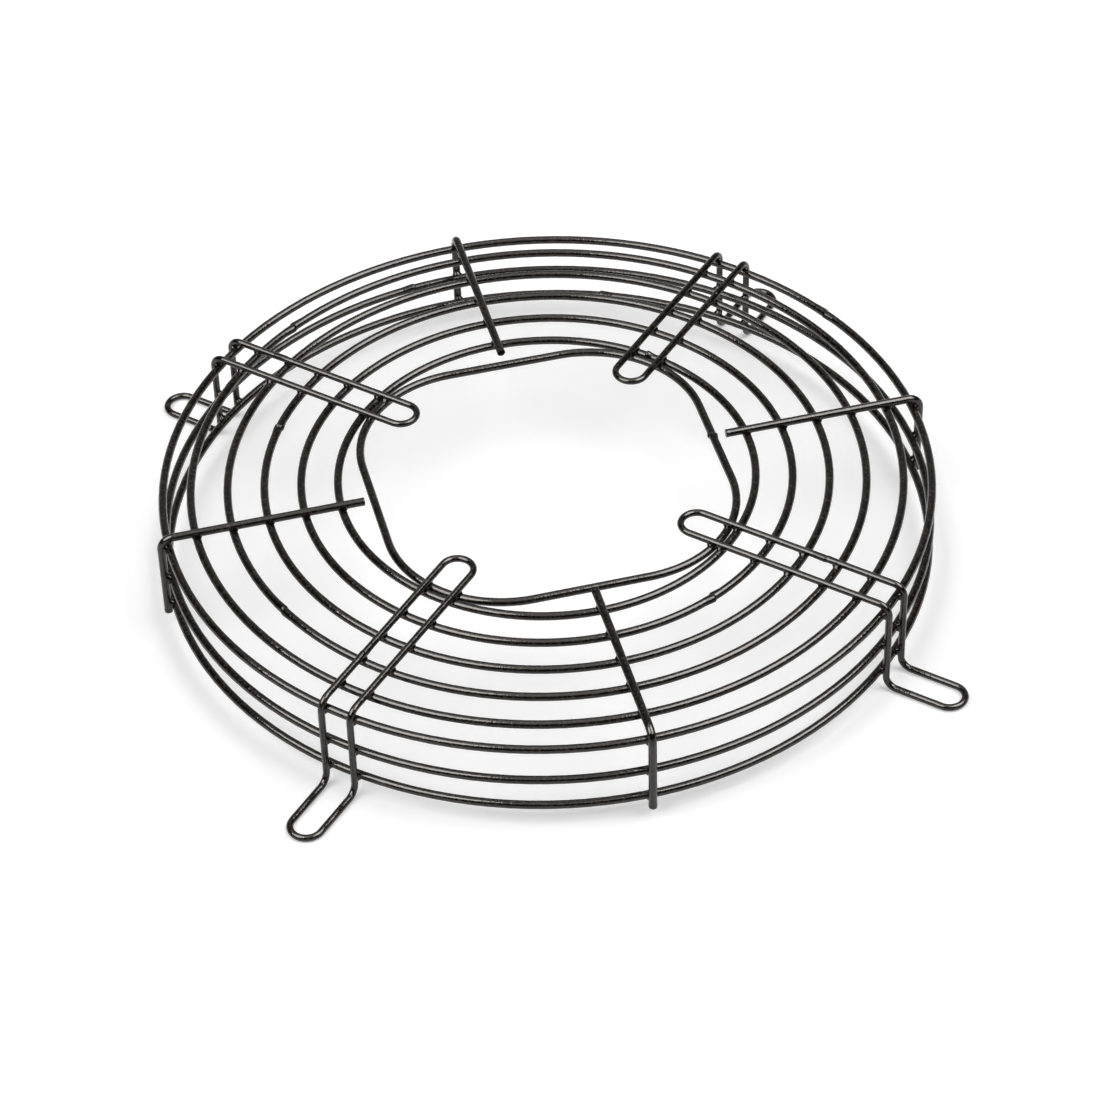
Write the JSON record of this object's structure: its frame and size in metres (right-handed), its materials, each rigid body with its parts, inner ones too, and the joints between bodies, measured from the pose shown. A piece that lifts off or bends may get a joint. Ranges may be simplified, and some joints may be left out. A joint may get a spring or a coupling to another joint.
{
  "type": "wire fan guard",
  "caption": "Shallow basket of welded black wire rings on looped legs, with a rounded square motor opening. It covers an axial fan.",
  "frame": {"origin": "on the fan's axis, in the plane that the undersides of the four feet stand on", "axes": "+Z along the fan's axis, away from the mounting face and out through the flat grille; the legs lie along X and Y and the spokes midway between them"},
  "size_m": [0.338, 0.338, 0.0402],
  "materials": {
    "ring_wire_coat": "black dip coat on steel wire, semi-gloss",
    "leg_wire_coat": "black dip coat on steel wire, semi-gloss",
    "spoke_wire_coat": "black dip coat on steel wire, semi-gloss"
  },
  "bodies": {
    "root": {"motor_ring": "ring_wire_coat", "flat_ring_1": "ring_wire_coat", "flat_ring_2": "ring_wire_coat", "flat_ring_3": "ring_wire_coat", "flat_ring_4": "ring_wire_coat", "flat_ring_5": "ring_wire_coat", "rim_ring": "ring_wire_coat", "upper_side_ring": "ring_wire_coat", "lower_side_ring": "ring_wire_coat", "right_leg": "leg_wire_coat", "back_leg": "leg_wire_coat", "left_leg": "leg_wire_coat", "front_leg": "leg_wire_coat", "back_right_spoke": "spoke_wire_coat", "back_left_spoke": "spoke_wire_coat", "front_left_spoke": "spoke_wire_coat", "front_right_spoke": "spoke_wire_coat"}
  },
  "joints": []
}
